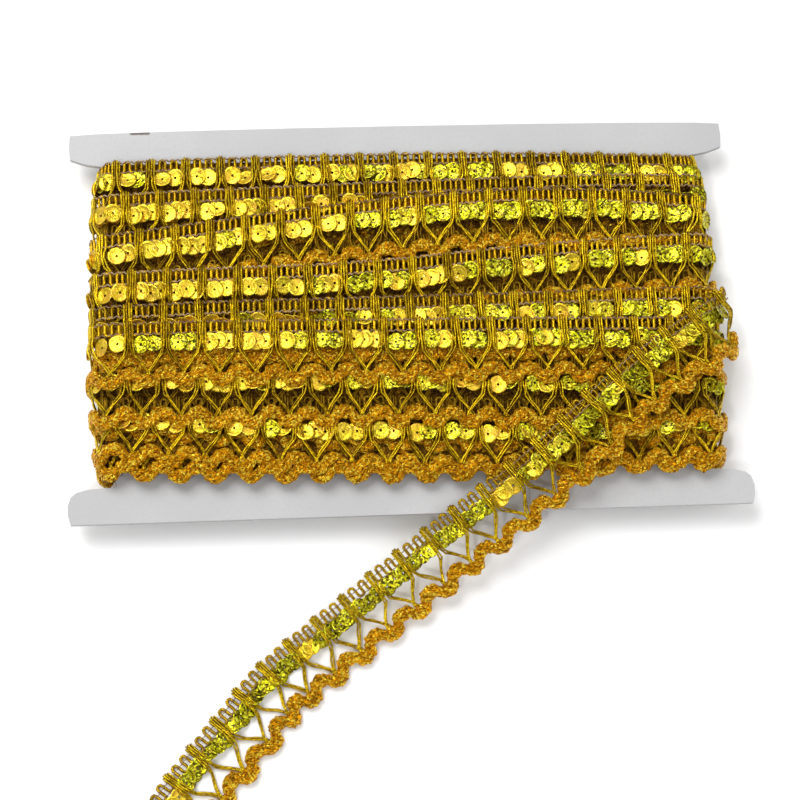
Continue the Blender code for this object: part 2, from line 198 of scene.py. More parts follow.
def round_pack(s, edge, across, rise):
    """Points at s millimetres along a turn, with edge its upper edge's height on the card."""
    away = np.abs(s)
    side = np.sign(s)
    angle = np.clip((away - FRONT_HALF) / END_ARC, 0.0, 1.0) * math.pi
    swing = np.sin(angle)
    y = edge - across
    y = np.clip(y, END_LOWER_Y - PAST_END_Y * (1 - swing), END_UPPER_Y + PAST_END_Y * (1 - swing))
    out = np.minimum(1.0, np.abs(y) / PACK_HALF_HEIGHT)
    half = HALF_THICK - THINNER_AT_EDGE * out**5 + rise + FULLER_BELOW * (1 - np.cos(angle)) / 2
    reach = END_REACH - SHORTER_AT_EDGE * out**3 + 0.7 * rise
    flat_x = np.minimum(away, FRONT_HALF) - np.maximum(0.0, away - FRONT_HALF - END_ARC)
    x = side * (flat_x + reach * swing)
    z = np.maximum(CARD_MIDDLE_Z + half * np.cos(angle), 0.35 + 0.25 * np.clip(rise, 0, 4))
    return np.stack([x, y, z], axis=-1)


def edge_height(turn, s):
    away = np.abs(s)
    front = np.interp(s, TURN_X, turn.upper_edge)
    left, right = turn.upper_edge[0], turn.upper_edge[-1]
    back_x = np.sign(s) * (TURN_HALF - away)
    back = (left + right) / 2 + (right - left) / 2 * np.clip(back_x / FRONT_HALF, -1, 1)
    return np.where(away <= FRONT_HALF + END_ARC, front, back)


class Winding:
    """One turn as a mapping from (repeats, across, height) to points.

    The part that lies under a neighbour is pressed down. It starts at the turn's cover, measured
    down from the neighbour's upper edge. covered is 1 if what lies above that line is pressed,
    -1 if what lies below it is, and 0 if nothing is.
    """

    def __init__(self, turn, sunk=0.0, neighbour=None, covered=0):
        self.turn = turn
        self.sunk = sunk
        self.neighbour = neighbour
        self.covered = covered
        front = 2 * FRONT_HALF / turn.pitch
        self.repeats = round(2 * TURN_HALF / turn.pitch)
        self.back_pitch = (2 * TURN_HALF - 2 * FRONT_HALF) / (self.repeats - front)
        self.left = (-FRONT_HALF - turn.bundle_x) / turn.pitch
        self.right = (FRONT_HALF - turn.bundle_x) / turn.pitch
        away = (TURN_HALF - FRONT_HALF) / self.back_pitch
        self.first, self.last = self.left - away, self.right + away

    def along(self, u):
        front = self.turn.bundle_x + u * self.turn.pitch
        left = -FRONT_HALF + (u - self.left) * self.back_pitch
        right = FRONT_HALF + (u - self.right) * self.back_pitch
        return np.where(u < self.left, left, np.where(u > self.right, right, front))

    def place(self, u, across, height):
        s = self.along(u)
        share = across / TRIM_WIDTH
        lift = self.turn.lift_upper * np.maximum(0.0, 1 - 2 * share)
        lift = lift + self.turn.lift_lower * np.clip(share, 0, 1)
        edge = edge_height(self.turn, s)
        if self.covered:
            cover = np.interp(s, TURN_X, np.broadcast_to(self.turn.cover, len(TURN_X)))
            beyond = edge - across - (edge_height(self.neighbour, s) - cover)
            pressed = np.clip(beyond * self.covered / 2.0, 0.0, 1.0)
            height = height * (1 - 0.45 * pressed) - self.turn.press * pressed
        return round_pack(s, edge, across, lift + height - self.sunk)


TOP_TURN = 5
WINDINGS = []
for place_down, turn in enumerate(TURNS):
    if place_down < TOP_TURN:
        WINDINGS.append(Winding(turn, 0.0, TURNS[place_down + 1], -1))
    elif place_down == TOP_TURN:
        WINDINGS.append(Winding(turn))
    else:
        WINDINGS.append(Winding(turn, 0.0, TURNS[place_down - 1], 1))


# Meshes for the pieces: a plain one from points and faces, and one of loose paths that a node tree
# rounds into yarns.

def object_of(name, mesh, look):
    mesh.name = name
    mesh.materials.clear()
    mesh.materials.append(look)
    thing = bpy.data.objects.new(name, mesh)
    bpy.context.scene.collection.objects.link(thing)
    return thing


def paths_mesh(paths):
    """paths: (points in mm, radius in mm, tone) for each yarn. The last two may vary along it."""
    points = np.concatenate([path for path, _, _ in paths]) * MM
    radii = np.concatenate([np.broadcast_to(radius, len(path)) for path, radius, _ in paths]) * MM
    points[:, 2] = np.maximum(points[:, 2], radii)
    tones = np.concatenate([np.broadcast_to(tone, len(path)) for path, _, tone in paths])
    edges = []
    start = 0
    for path, _, _ in paths:
        ends = np.arange(start, start + len(path) - 1)
        edges.append(np.stack([ends, ends + 1], axis=-1))
        start += len(path)
    mesh = bpy.data.meshes.new("paths")
    mesh.from_pydata(points.tolist(), np.concatenate(edges).tolist(), [])
    for name, values in (("radius", radii), ("tone", tones)):
        mesh.attributes.new(name, "FLOAT", "POINT").data.foreach_set("value", values)
    return mesh


def run_tree(tree, mesh, settings):
    """The plain mesh that a node tree makes of a mesh."""
    carrier = bpy.data.objects.new("carrier", mesh)
    bpy.context.scene.collection.objects.link(carrier)
    modifier = carrier.modifiers.new("tree", "NODES")
    modifier.node_group = tree
    for socket in tree.interface.items_tree:
        if socket.in_out == "INPUT" and socket.name in settings:
            modifier[socket.identifier] = settings[socket.name]
    depsgraph = bpy.context.evaluated_depsgraph_get()
    made = bpy.data.meshes.new_from_object(
        carrier.evaluated_get(depsgraph), preserve_all_data_layers=True, depsgraph=depsgraph
    )
    carrier.modifiers.clear()
    bpy.data.objects.remove(carrier)
    return made


def new_tree(name, inputs):
    """A node tree with one geometry in and out, and a function that adds linked nodes."""
    tree = bpy.data.node_groups.new(name, "GeometryNodeTree")
    for label, kind in {"Geometry": "NodeSocketGeometry", **inputs}.items():
        tree.interface.new_socket(label, in_out="INPUT", socket_type=kind)
    tree.interface.new_socket("Geometry", in_out="OUTPUT", socket_type="NodeSocketGeometry")
    given = tree.nodes.new("NodeGroupInput")

    def add(kind, links=None, **settings):
        node = tree.nodes.new(kind)
        for key, setting in settings.items():
            setattr(node, key, setting)
        for key, source in (links or {}).items():
            if isinstance(source, bpy.types.NodeSocket):
                tree.links.new(source, node.inputs[key])
            else:
                node.inputs[key].default_value = source
        return node

    return tree, given, add


def end_tree(tree, add, geometry, material):
    smooth = add("GeometryNodeSetShadeSmooth", {"Geometry": geometry})
    plain = add("GeometryNodeRealizeInstances", {"Geometry": smooth.outputs[0]})
    painted = add(
        "GeometryNodeSetMaterial", {"Geometry": plain.outputs[0], "Material": material}
    )
    out = tree.nodes.new("NodeGroupOutput")
    tree.links.new(painted.outputs[0], out.inputs[0])


def yarn_tree():
    """Rounds each path into a yarn. around holds the way round it, and along the length along it in
    metres.
    """
    inputs = {"Sides": "NodeSocketInt", "Material": "NodeSocketMaterial"}
    tree, given, add = new_tree("yarns_along_paths", inputs)
    curve = add("GeometryNodeMeshToCurve", {"Mesh": given.outputs["Geometry"]})
    length = add("GeometryNodeSplineParameter")
    marked = add(
        "GeometryNodeStoreNamedAttribute",
        {"Geometry": curve.outputs[0], "Name": "along", "Value": length.outputs["Length"]},
        data_type="FLOAT", domain="POINT",
    )
    circle = add(
        "GeometryNodeCurvePrimitiveCircle", {"Resolution": given.outputs["Sides"], "Radius": 1.0}
    )
    position = add("GeometryNodeInputPosition")
    ring = add(
        "GeometryNodeStoreNamedAttribute",
        {"Geometry": circle.outputs[0], "Name": "around", "Value": position.outputs[0]},
        data_type="FLOAT_VECTOR", domain="POINT",
    )
    radius = add("GeometryNodeInputNamedAttribute", {"Name": "radius"}, data_type="FLOAT")
    body = add(
        "GeometryNodeCurveToMesh",
        {
            "Curve": marked.outputs[0], "Profile Curve": ring.outputs[0],
            "Scale": radius.outputs["Attribute"], "Fill Caps": True,
        },
    )
    end_tree(tree, add, body.outputs[0], given.outputs["Material"])
    return tree


YARN_TREE = yarn_tree()


def yarn_piece(name, paths, sides, look, node):
    settings = {"Sides": sides, "Material": look}
    piece = object_of(name, run_tree(YARN_TREE, paths_mesh(paths), settings), look)
    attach(piece, "root")
    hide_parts(node)
    return piece


# The inner turns. What shows of them through the open work is a clutter of the same trim, packed
# tight round the card's waist and painted dark brown as shade. One rough surface stands for them, from
# the card out.

def inner_look():
    material, shader, place = new_look("inner_look", roughness=0.45, metallic=0.9)
    stretch = place.node("ShaderNodeMapping", {0: place, 3: (900.0, 420.0, 600.0)})
    tangle = place.node("ShaderNodeTexVoronoi", {"Vector": stretch, "Scale": 1.0}, output=1)
    grain = place.node("ShaderNodeTexNoise", {"Vector": place, "Scale": 1500.0, "Detail": 3.0})
    spot = place.node("ShaderNodeSeparateColor", {"Color": tangle}, output=0)
    # The trim's gold, its lighter flecks too, is painted dark here: painted shade deep in the winding.
    painted_shade_gold = grain.between(0.4, 0.75).mix(colour(0.07, 0.030, 0.002), colour(0.24, 0.115, 0.004))
    feed(shader, base_color=spot.between(0.80, 0.95).mix(painted_shade_gold, colour(0.36, 0.18, 0.008)))
    bump = {"Height": spot + grain, "Strength": 0.9, "Distance": 0.0006}
    feed(shader, normal=place.node("ShaderNodeBump", bump))
    return material


def ring_faces(count, rings, closed):
    """Quads between rings of count points each."""
    faces = []
    for r in range(rings if closed else rings - 1):
        upper, lower = r * count, (r + 1) % rings * count
        for i in range(count):
            j = (i + 1) % count
            faces.append((upper + i, upper + j, lower + j, lower + i))
    return faces


INNER_TOP, INNER_BOTTOM = 49.6, -47.6
INNER_DEPTH = 1.5
SLOT_HALF = 1.4


def build_inner_turns():
    s = np.linspace(-TURN_HALF, TURN_HALF, 264, endpoint=False)
    rng = np.random.default_rng(4)
    top = np.minimum(edge_height(TURNS[0], s) - 0.5, INNER_TOP)
    bottom = np.minimum(edge_height(TURNS[-1], s), edge_height(TURNS[-2], s)) - 16.4
    bottom = np.maximum(bottom, INNER_BOTTOM)
    rings = []
    for share in np.linspace(0.0, 1.0, 62):
        y = top + (bottom - top) * share
        waves = 0.35 * np.sin(s * 0.6 + y * 0.9) * np.sin(y * 1.7 + s * 0.08)
        rise = waves - INNER_DEPTH + rng.uniform(-0.2, 0.2, len(s))
        rings.append(round_pack(s, y, 0.0, rise * min(1.0, 8 * share, 8 * (1 - share))))
    angle = np.clip((np.abs(s) - FRONT_HALF) / END_ARC, 0, 1) * math.pi
    slot_x = np.minimum(np.abs(s), FRONT_HALF) - np.maximum(0.0, np.abs(s) - FRONT_HALF - END_ARC)
    slot_x = np.sign(s) * (slot_x + 1.5 * np.sin(angle))
    for y in (bottom, top):
        rings.append(np.stack([slot_x, y, CARD_MIDDLE_Z + SLOT_HALF * np.cos(angle)], axis=-1))
    mesh = bpy.data.meshes.new("inner_turns")
    points = np.concatenate(rings) * MM
    mesh.from_pydata(points.tolist(), [], ring_faces(len(s), len(rings), True))
    mesh.polygons.foreach_set("use_smooth", [True] * len(mesh.polygons))
    return mesh


inner_turns = object_of("inner_turns", build_inner_turns(), inner_look())
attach(inner_turns, "root")
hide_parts("wound_trim")


# The header. One thin olive-gold yarn runs in tight loops along the trim's upper edge, three to a
# repeat, and two mauve-brown chains of sewing thread hold it along its top and its foot.

def yarn_look(name, low, high, pitch, metallic, roughness):
    """A twisted metallic yarn: plies of two tones that wind round it."""
    material, shader, place = new_look(name, metallic=metallic, roughness=roughness)
    around = attribute(place, "around", "Vector")
    cosine = place.node("ShaderNodeSeparateXYZ", {"Vector": around}, output=0)
    sine = Value(place.tree, cosine.socket.node.outputs[1])
    turn = attribute(place, "along") * (2 * math.pi / pitch)
    wave = cosine * turn.math("COSINE") - sine * turn.math("SINE")
    ply = (wave * wave * 2.0 - 1.0) * 0.5 + 0.5
    tone = attribute(place, "tone")
    grain = place.node("ShaderNodeTexNoise", {"Vector": place, "Scale": 1300.0, "Detail": 2.0})
    shade = (ply * 0.45 + tone * 0.35 + grain.between(0.3, 0.7) * 0.35).between(0.12, 0.95)
    feed(shader, base_color=shade.mix(colour(*low), colour(*high)))
    bump = {"Height": ply, "Strength": 0.6, "Distance": 0.00015}
    feed(shader, normal=place.node("ShaderNodeBump", bump))
    return material


header_finish = yarn_look(
    "header_look", (0.20, 0.11, 0.002), (0.92, 0.58, 0.012), 0.0010, 0.9, 0.36
)
thread_finish = yarn_look(
    "thread_look", (0.17, 0.095, 0.045), (0.52, 0.36, 0.19), 0.0007, 0.0, 0.75
)
LOOPS = 3


HEADER_MIDDLE, HEADER_SWING = 2.15, 1.85


def header_path(lay, first, last, radius, tone, rng):
    """The looping yarn of the header between two places along the trim, in repeats."""
    count = int((last - first) * LOOPS * 10)
    u = np.linspace(first, last, count)
    w = 2 * math.pi * LOOPS * u
    knots = np.arange(math.floor(first * LOOPS) - 1, math.ceil(last * LOOPS) + 2)
    top = np.interp(u * LOOPS, knots, rng.uniform(-0.35, 0.35, len(knots)))
    lean = np.interp(u * LOOPS, knots, rng.uniform(-0.02, 0.02, len(knots)))
    squared = np.tanh(1.1 * np.cos(w)) / math.tanh(1.1)
    across = HEADER_MIDDLE + top * 0.6 - HEADER_SWING * squared
    height = 0.72 + 0.12 * np.sin(w) + top * 0.4
    return lay.place(u + lean + 0.034 * np.sin(2 * w), across, height), radius, tone


def thread_paths(lay, first, last, lines, radius, rng):
    """Two chains of sewing thread, which dip between the loops they catch."""
    count = int((last - first) * LOOPS * 8)
    u = np.linspace(first, last, count)
    w = 2 * math.pi * LOOPS * u
    made = []
    for line in lines:
        wander = np.interp(u, np.arange(-60, 60), rng.uniform(-0.12, 0.12, 120))
        across = line + wander + 1.2 * radius * np.sin(2 * w + line)
        beads = radius * (1 + 0.35 * np.cos(2 * w + line))
        made.append((lay.place(u, across, 1.22 + 0.16 * np.cos(w)), beads, rng.uniform(0, 1)))
    return made


rng = np.random.default_rng(11)
headed = [lay for lay in WINDINGS if lay.turn.shown_from == 0.0]
loops = [header_path(lay, lay.first, lay.last, 0.50, rng.uniform(0.3, 1), rng) for lay in headed]
threads = []
for lay in headed:
    threads += thread_paths(lay, lay.first, lay.last, (0.55, 3.95), 0.25, rng)
yarn_piece("wound_header", loops, 4, header_finish, "wound_trim")
yarn_piece("wound_threads", threads, 3, thread_finish, "wound_trim")


# Lower turns of the same trim, sunk under the ones that show and seen only through their gaps.
# Each is given by the turn above it, how far below that turn's edge it runs and how deep it lies.

Under = namedtuple("Under", "turn down sunk")
UNDER = (
    Under(0, 0.4, 0.7),
    Under(1, 9.0, 1.45),
    Under(2, 11.5, 1.45),
    Under(3, 10.5, 1.45),
    Under(5, 11.0, 1.45),
    Under(6, 10.2, 1.45),
)


UNDER_SHIFT = 3.7


def hidden_turn(under):
    over = TURNS[under.turn]
    edge = tuple(height - under.down for height in over.upper_edge)
    bundle_x = over.bundle_x + UNDER_SHIFT
    flat = over._replace(upper_edge=edge, bundle_x=bundle_x, lift_upper=0.0, lift_lower=0.0)
    return Winding(flat, under.sunk)


UNDER_WINDINGS = [hidden_turn(under) for under in UNDER]
rng = np.random.default_rng(17)
under_loops = [header_path(lay, lay.first, lay.last, 0.46, 0.5, rng) for lay in UNDER_WINDINGS]
# The lower turns' yarns and cords get a darker copy of the trim's gold: painted shade.
under_shaded_finish = yarn_look("under_look", (0.08, 0.04, 0.001), (0.50, 0.29, 0.006), 0.0009, 0.8, 0.42)
yarn_piece("under_header", under_loops, 4, under_shaded_finish, "wound_trim")


# The sequins. Cupped gold foil discs 5.5 mm across with a small centre hole, strung two or three
# to a repeat and lapped like shingles below the header; some plain, some with green glitter.

def sequin_mesh():
    """One cup, hollow side up, as a closed lathe."""
    sides = 14
    profile = (
        (0.26, 0.0), (0.40, 0.0), (1.5, 0.03), (2.2, 0.16), (2.8, 0.40), (2.77, 0.30), (1.5, -0.08)
    )
    points = []
    for radius, height in profile:
        for i in range(sides):
            angle = 2 * math.pi * i / sides
            points.append((radius * math.cos(angle), radius * math.sin(angle), height))
    mesh = bpy.data.meshes.new("sequin")
    scaled = [tuple(MM * c for c in point) for point in points]
    faces = [tuple(reversed(face)) for face in ring_faces(sides, len(profile), True)]
    mesh.from_pydata(scaled, [], faces)
    disc = mesh.attributes.new("disc", "FLOAT_VECTOR", "POINT")
    disc.data.foreach_set("vector", np.array(points).ravel())
    return mesh


def sequin_tree():
    """Puts the sequin on every point, its hollow along facing and its X along side."""
    inputs = {"Sequin": "NodeSocketObject", "Material": "NodeSocketMaterial"}
    tree, given, add = new_tree("sequins_on_string", inputs)
    shape = add("GeometryNodeObjectInfo", {"Object": given.outputs["Sequin"]})
    facing = add("GeometryNodeInputNamedAttribute", {"Name": "facing"}, data_type="FLOAT_VECTOR")
    side = add("GeometryNodeInputNamedAttribute", {"Name": "side"}, data_type="FLOAT_VECTOR")
    turned = add(
        "FunctionNodeAxesToRotation",
        {"Primary Axis": facing.outputs["Attribute"], "Secondary Axis": side.outputs["Attribute"]},
        primary_axis="Z", secondary_axis="X",
    )
    placed = add(
        "GeometryNodeInstanceOnPoints",
        {
            "Points": given.outputs["Geometry"], "Instance": shape.outputs["Geometry"],
            "Rotation": turned.outputs[0],
        },
    )
    end_tree(tree, add, placed.outputs[0], given.outputs["Material"])
    return tree


SEQUIN_TREE = sequin_tree()
sequin_shape = bpy.data.objects.new("sequin", sequin_mesh())


def sequin_look():
    material, shader, place = new_look("sequin_look", metallic=0.9, coat_weight=0.12)
    disc = attribute(place, "disc", "Vector")
    glitter = attribute(place, "glitter")
    tone = attribute(place, "tone")
    shift = place.node("ShaderNodeCombineXYZ", {"Z": tone * 40.0})
    spread = place.node("ShaderNodeVectorMath", {0: disc, 1: shift}, operation="ADD")
    cells = place.node(
        "ShaderNodeTexVoronoi", {"Vector": spread, "Scale": 1.9, "Randomness": 1.0}, output=1
    )
    pick = place.node("ShaderNodeSeparateColor", {"Color": cells}, output=0)
    pick2 = Value(place.tree, pick.socket.node.outputs[1])
    plain = tone.mix(colour(0.80, 0.55, 0.022), colour(0.96, 0.75, 0.045))
    # Peach patches on the plain foil are painted reflection.
    peach_sheen_patches = place.node("ShaderNodeTexNoise", {"Vector": spread, "Scale": 0.35})
    plain = (peach_sheen_patches.between(0.42, 0.66) * 0.75).mix(plain, colour(0.92, 0.52, 0.06))
    flecks = pick.between(0.26, 0.60).mix(colour(0.045, 0.045, 0.001), colour(0.66, 0.66, 0.006))
    flecks = pick2.between(0.80, 0.86).mix(flecks, colour(1.0, 1.0, 0.08))
    shade = glitter.between(0.35, 0.6).mix(plain, flecks)
    away = place.node("ShaderNodeVectorMath", {0: disc}, output=1, operation="LENGTH")
    # Darker noise patches on the foil are painted shade of its wrinkles; the same noise bumps it.
    wrinkle_shade = place.node("ShaderNodeTexNoise", {"Vector": spread, "Scale": 0.9, "Detail": 3.0})
    shade = (wrinkle_shade.between(0.62, 0.40) * 0.40).mix(shade, colour(0.42, 0.25, 0.006))
    # A dark ring round the centre hole, wider than the hole itself, is painted shade.
    shade = away.between(0.46, 0.36).mix(shade, colour(0.08, 0.035, 0.004))
    feed(shader, base_color=shade, roughness=0.24 + pick2 * 0.22)
    bump = {"Height": pick * glitter + wrinkle_shade, "Strength": 0.8, "Distance": 0.0004}
    feed(shader, normal=place.node("ShaderNodeBump", bump))
    return material


STEPS_OF_TWO = (0.32, 0.66)
STEPS_OF_THREE = (0.22, 0.5, 0.78)


def sequin_points(lay, first, last, across, crowded, glitter_at, wild, rng):
    """Rows of (place, facing, side, tone, glitter) for the sequins between two places.

    crowded is the share of repeats with three sequins instead of two, and wild how far in degrees
    they tip out of line. Those that face the table lie almost flat.
    """
    rows = []
    for repeat in range(math.ceil(first - 0.3), math.floor(last - 0.7) + 1):
        both = glitter_at(lay.place(np.array([repeat + 0.5]), 7.0, 0.0)[0], rng)
        for step in STEPS_OF_THREE if rng.uniform(0, 1) < crowded else STEPS_OF_TWO:
            u = repeat + step + rng.uniform(-0.04, 0.04)
            line = across + rng.uniform(-0.6, 0.6)
            ends = lay.place(np.array([u - 0.05, u, u + 0.05]), line, 1.45)
            below = lay.place(np.array([u]), line + 0.5, 1.45)[0]
            along = ends[2] - ends[0]
            along /= np.linalg.norm(along)
            down = below - ends[1]
            facing = np.cross(down, along)
            out = lay.place(np.array([u]), line, 2.45)[0] - ends[1]
            facing *= (-1 if facing @ out < 0 else 1) / np.linalg.norm(facing)
            flat = 0.15 if facing[2] < -0.5 else 1.0
            slant = flat * math.radians(8.0 + rng.uniform(-wild, wild))
            roll = flat * math.radians(1.5 * rng.uniform(-wild, wild))
            down /= np.linalg.norm(down)
            facing = facing - math.sin(slant) * along + math.sin(roll) * down
            mixed = np.clip(both + rng.uniform(-0.35, 0.35), 0, 1)
            rows.append((ends[1], facing, along, rng.uniform(0, 1), mixed))
    return rows


def sequin_piece(name, rows, node, look):
    mesh = bpy.data.meshes.new(name)
    mesh.from_pydata([tuple(place * MM) for place, *_ in rows], [], [])
    for label, column in (("facing", 1), ("side", 2)):
        values = np.array([row[column] for row in rows]).ravel()
        mesh.attributes.new(label, "FLOAT_VECTOR", "POINT").data.foreach_set("vector", values)
    for label, column in (("tone", 3), ("glitter", 4)):
        values = [float(row[column]) for row in rows]
        mesh.attributes.new(label, "FLOAT", "POINT").data.foreach_set("value", values)
    made = run_tree(SEQUIN_TREE, mesh, {"Sequin": sequin_shape, "Material": look})
    for vertex in made.vertices:
        vertex.co.z = max(vertex.co.z, 0.03 * MM)
    piece = object_of(name, made, look)
    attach(piece, "root")
    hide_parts(node)
    return piece


def wound_glitter(place, rng):
    """How glittery the sequins near a place are: more of them towards the card's right."""
    return float(np.clip(0.42 + place[0] / 200.0 + rng.normal(0, 0.22), 0, 1))


sequin_finish = sequin_look()
rng = np.random.default_rng(23)
rows = []
for lay in WINDINGS:
    if lay.turn.shown_from <= 5.0:
        rows += sequin_points(
            lay, lay.first, lay.last, lay.turn.sequins_at, 0.3, wound_glitter, 13.0, rng
        )
sequin_piece("wound_sequins", rows, "wound_trim", sequin_finish)


# The cords. Once a repeat a bundle of four bright gold cords loops over the header and the string
# of sequins, then splits into two legs, which meet the neighbours' legs on the braid below.

cord_finish = yarn_look(
    "cord_look", (0.17, 0.080, 0.002), (1.0, 0.74, 0.018), 0.0011, 0.95, 0.33
)
CORD_RADIUS = 0.32
APART = 0.070
Knot = namedtuple("Knot", "across height spread")
CORD_KNOTS = (
    Knot(0.7, 0.35, 0.0),
    Knot(-0.2, 0.5, 0.0),
    Knot(-0.42, 1.0, 0.0),
    Knot(0.2, 1.5, 0.0),
    Knot(2.0, 1.6, 0.0),
    Knot(4.2, 1.68, 0.0),
    Knot(5.6, 2.25, 0.0),
    Knot(6.9, 2.6, 0.0),
    Knot(8.4, 2.2, 0.02),
    Knot(9.9, 1.5, 0.10),
    Knot(11.4, 1.1, 0.33),
    Knot(13.3, 0.9, 0.62),
    Knot(15.2, 1.1, 0.87),
    Knot(16.6, 1.7, 0.96),
)


def cord_paths(lay, first, last, shown_from, apart, brightest, left_shade, rng):
    """The cords of every bundle between two places along the trim.

    apart is their spacing in repeats. brightest is the brightest tone; the loose end's low one
    is painted shade. left_shade, also painted shade, is what the two cords on the left lose of it.
    """
    knots = np.array([knot for knot in CORD_KNOTS if knot.across >= shown_from or shown_from == 0])
    across, height, spread = knots.T
    made = []
    for repeat in range(math.ceil(first), math.floor(last) + 1):
        lean = rng.uniform(-0.05, 0.05)
        reach = rng.uniform(0.9, 1.04)
        for cord in range(4):
            side = -1 if cord < 2 else 1
            drift = rng.uniform(-0.022, 0.022, len(across)) * np.clip(across / 6, 0.3, 1)
            rounded = 0.45 * (abs(cord - 1.5) - 0.5) * (across < 1.5)
            u = repeat + (cord - 1.5) * apart * (1 - 0.3 * spread) + lean * across / 16 + drift
            u = u + side * 0.5 * spread * reach
            wander = rng.uniform(-0.12, 0.12)
            inside = (u > first) & (u < last)
            if inside.sum() < 3:
                continue
            over = height + rng.uniform(-0.15, 0.2, len(height))
            points = lay.place(u, across + wander + rounded, over)[inside]
            # Each cord gets a random tone, and the flicker along it is painted glints.
            tone = rng.uniform(0, brightest) + rng.uniform(-0.35, 0.35, len(points))
            made.append((points, CORD_RADIUS, np.clip(tone - (side < 0) * left_shade, 0, 1)))
    return made


rng = np.random.default_rng(37)
cords = []
for lay in WINDINGS:
    cords += cord_paths(lay, lay.first, lay.last, lay.turn.shown_from, APART, 1.0, 0.0, rng)
yarn_piece("wound_cords", cords, 4, cord_finish, "wound_trim")
under_cords = []
for lay in UNDER_WINDINGS[1:]:
    under_cords += cord_paths(lay, lay.first, lay.last, 0.0, APART, 1.0, 0.0, rng)
yarn_piece("under_cords", under_cords, 4, under_shaded_finish, "wound_trim")


# The braid. A rough orange-gold tinsel braid about 4.5 mm thick snakes along the trim's lower edge,
# its inner lobes under the bundles and its outer lobes where the legs meet and are caught in it.

def braid_look():
    material, shader, place = new_look("braid_look", metallic=0.85, roughness=0.42)
    cells = place.node("ShaderNodeTexVoronoi", {"Vector": place, "Scale": 1900.0}, output=1)
    pick = place.node("ShaderNodeSeparateColor", {"Color": cells}, output=0)
    pick2 = Value(place.tree, pick.socket.node.outputs[1])
    fuzz = place.node("ShaderNodeTexNoise", {"Vector": place, "Scale": 900.0, "Detail": 3.0})
    way = place.node("ShaderNodeCombineXYZ", {"Z": attribute(place, "along") * 480.0})
    around = attribute(place, "around", "Vector")
    drawn = place.node("ShaderNodeVectorMath", {0: around, 1: way}, operation="ADD")
    strands = place.node("ShaderNodeTexNoise", {"Vector": drawn, "Scale": 2.6, "Detail": 2.0})
    strands = strands.between(0.38, 0.62)
    # The dark brown between the strands is partly the braid's own brown and partly painted shade; the
    # bright yellow flecks are painted glints.
    shade = (pick * 0.4 + strands * 0.5 + fuzz.between(0.3, 0.7) * 0.25).between(0.1, 1.0)
    base = shade.mix(colour(0.20, 0.070, 0.001), colour(1.0, 0.47, 0.003))
    feed(shader, base_color=pick2.between(0.74, 0.84).mix(base, colour(1.0, 0.76, 0.06)))
    bump = {"Height": pick + fuzz + strands, "Strength": 1.0, "Distance": 0.0005}
    feed(shader, normal=place.node("ShaderNodeBump", bump))
    return material


BRAID_MIDDLE = 17.1
BRAID_SWING = 1.45
BRAID_PLIES = 4
BRAID_TWISTS = 1.5
PLY_OFFSET = 1.35
PLY_RADIUS = 0.92


def braid_paths(lay, first, last, points_each, rng):
    """The rough plies twisted round the braid's snaking middle line."""
    u = np.linspace(first, last, int((last - first) * points_each))
    w = 2 * math.pi * u
    middle = BRAID_MIDDLE - BRAID_SWING * np.cos(w)
    swell = np.interp(u, np.arange(-60, 60), rng.uniform(-0.25, 0.25, 120))
    made = []
    for ply in range(BRAID_PLIES):
        turn = BRAID_TWISTS * w + 2 * math.pi * ply / BRAID_PLIES
        rough = rng.uniform(-0.3, 0.3, (2, len(u)))
        across = middle + swell + PLY_OFFSET * np.cos(turn) + rough[0]
        height = 1.55 + 0.5 * np.sin(turn) + 0.5 * rough[1]
        shift = 0.05 * np.sin(2 * w) + 0.02 * np.sin(turn)
        radius = PLY_RADIUS + rng.uniform(-0.2, 0.2, len(u))
        made.append((lay.place(u + shift, across, height), radius, rng.uniform(0, 1)))
    return made


braid_finish = braid_look()
rng = np.random.default_rng(53)
plies = []
for lay in WINDINGS:
    plies += braid_paths(lay, lay.first, lay.last, 13, rng)
yarn_piece("wound_braid", plies, 5, braid_finish, "wound_trim")
under_plies = []
for under in (Under(5, -7.5, 1.5), Under(7, -7.5, 1.5)):
    lay = hidden_turn(under)
    under_plies += braid_paths(lay, lay.first, lay.last, 13, rng)
yarn_piece("under_braid", under_plies, 5, braid_finish, "wound_trim")


# The loose end. The last length of the trim comes round the winding's right end, crosses the front
# on a slant, drops past the card's lower edge and lies on the table as far as its cut.

LOOSE_ROUTE = (
    (116.0, 19.0), (90.0, 2.0), (62.0, -17.0), (40.0, -36.0), (20.0, -51.6), (1.0, -64.8),
    (-22.8, -82.2), (-46.8, -100.4), (-60.7, -115.7), (-74.3, -131.4), (-88.0, -149.0),
)
DRAPE = (
    (60.0, 19.1), (-34.0, 19.1), (-43.0, 18.6), (-50.0, 16.9), (-56.0, 14.6), (-63.0, 11.4),
    (-72.0, 7.6), (-82.0, 3.9), (-91.0, 1.5), (-100.0, 0.3), (-108.0, 0.0), (-260.0, 0.0),
)
LOOSE_BUNDLE_AT = (1.0, -64.8)
LOOSE_REPEAT = 10.35
LOOSE_STRETCH_ACROSS = 1.01
LOOSE_END_REACH = 11.2
LOOSE_START_ROUND = 95.5
LOOSE_REPEATS_BELOW = 11.5


def smooth_line(points, spacing):
    """A smooth line through points, as points spacing apart."""
    points = np.array(points)
    padded = np.concatenate([[2 * points[0] - points[1]], points, [2 * points[-1] - points[-2]]])
    line = []
    for a, b, c, d in zip(padded, padded[1:], padded[2:], padded[3:]):
        for t in np.linspace(0, 1, 24, endpoint=False):
            line.append(0.5 * (2 * b + (c - a) * t + (2 * a - 5 * b + 4 * c - d) * t**2
                               + (3 * b - a - 3 * c + d) * t**3))
    line = np.array(line + [points[-1]])
    length = lengths_of(line)
    even = np.arange(0.0, length[-1], spacing)
    return np.stack([np.interp(even, length, line[:, k]) for k in range(2)], axis=-1)


